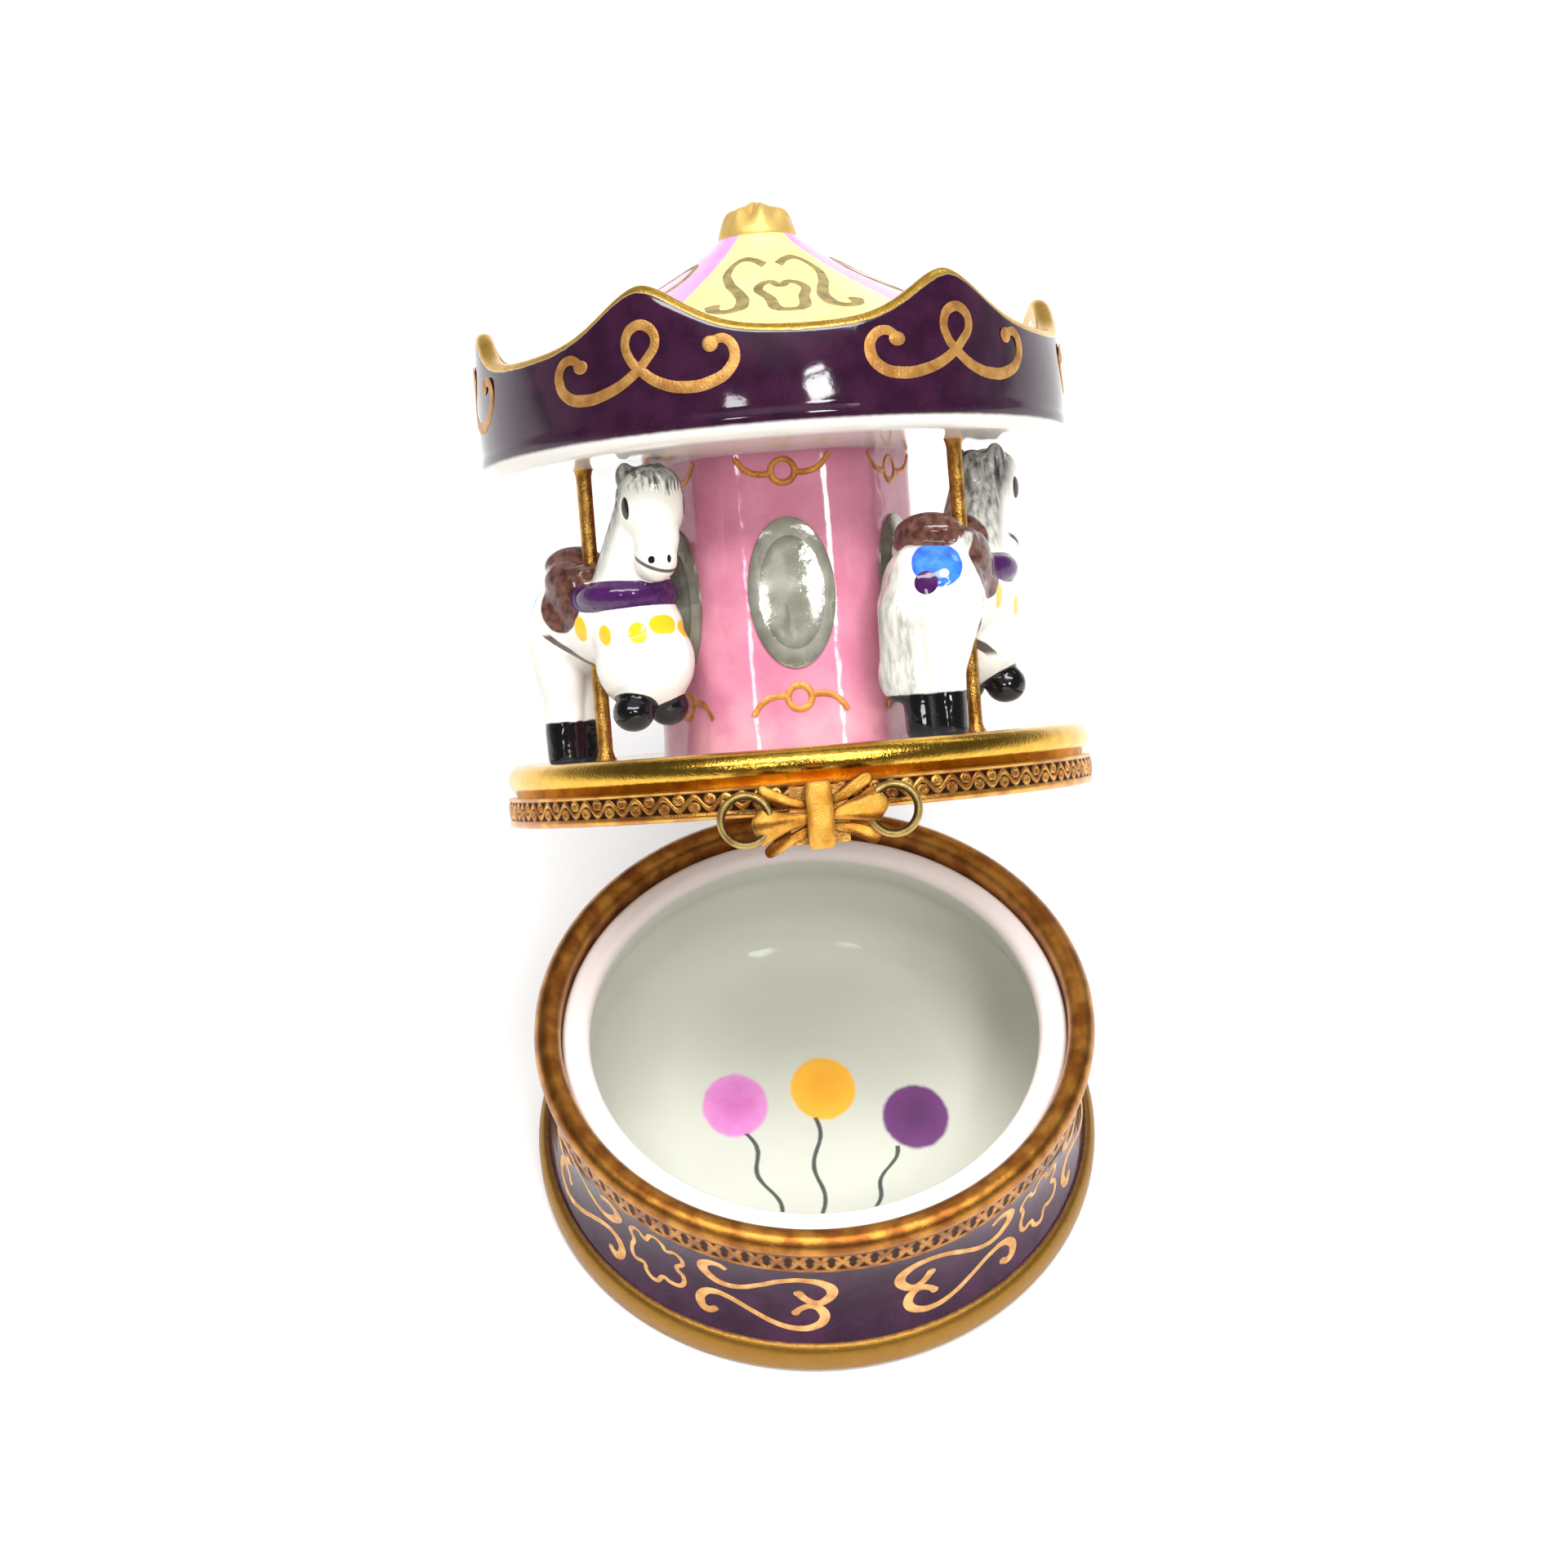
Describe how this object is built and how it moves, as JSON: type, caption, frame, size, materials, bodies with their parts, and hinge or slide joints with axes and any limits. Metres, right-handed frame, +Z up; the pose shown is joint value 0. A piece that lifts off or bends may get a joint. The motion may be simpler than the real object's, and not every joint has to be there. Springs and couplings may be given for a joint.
{
  "type": "hinged carousel trinket box",
  "caption": "Round hinged porcelain trinket box with brass collars, a bow clasp and a fixed miniature carousel of prancing horses on its lid.",
  "frame": {"origin": "middle of the flat underside of the base, on the table", "axes": "+Z up, -Y to the clasp side, +Y to the hinge, +X to the right seen from the clasp side; the lid is open in the rest pose"},
  "size_m": [0.0528, 0.0809, 0.084],
  "materials": {
    "painted_porcelain": "glossy purple glaze with gilding, white inside",
    "canopy_porcelain": "glossy purple, cream and pink glaze with gilding",
    "pink_porcelain": "glossy pink glaze with raised gilding",
    "deck_porcelain": "glossy white with a gilded rim",
    "horse_porcelain": "glossy white, hand painted",
    "mirror_silver": "bevelled silvered glass",
    "pole_brass": "drawn brass rod",
    "bow_brass": "cast brass, satin",
    "collar_brass": "chased brass, antique in the hollows"
  },
  "bodies": {
    "base": {"bowl": "painted_porcelain", "base_collar": "collar_brass", "base_knuckle_left": "collar_brass", "base_knuckle_right": "collar_brass", "hinge_pin": "collar_brass"},
    "lid": {"lid_collar": "collar_brass", "lid_knuckle": "collar_brass", "lid_deck": "deck_porcelain", "column": "pink_porcelain", "mirror_1": "mirror_silver", "mirror_2": "mirror_silver", "mirror_3": "mirror_silver", "mirror_4": "mirror_silver", "mirror_5": "mirror_silver", "mirror_6": "mirror_silver", "canopy": "canopy_porcelain", "bow_loop_left": "bow_brass", "bow_loop_right": "bow_brass", "bow_ribbon": "bow_brass", "bow_knot": "bow_brass", "clasp_tongue": "bow_brass", "horse_1": "horse_porcelain", "horse_2": "horse_porcelain", "horse_3": "horse_porcelain", "pole_1": "pole_brass", "pole_2": "pole_brass", "pole_3": "pole_brass"}
  },
  "joints": [
    {"name": "lid_hinge", "type": "hinge", "parent": "base", "child": "lid", "pos_m": [0, 0.0264, 0.01875], "axis": [1, 0, 0], "range_deg": [0, 45.5]}
  ]
}
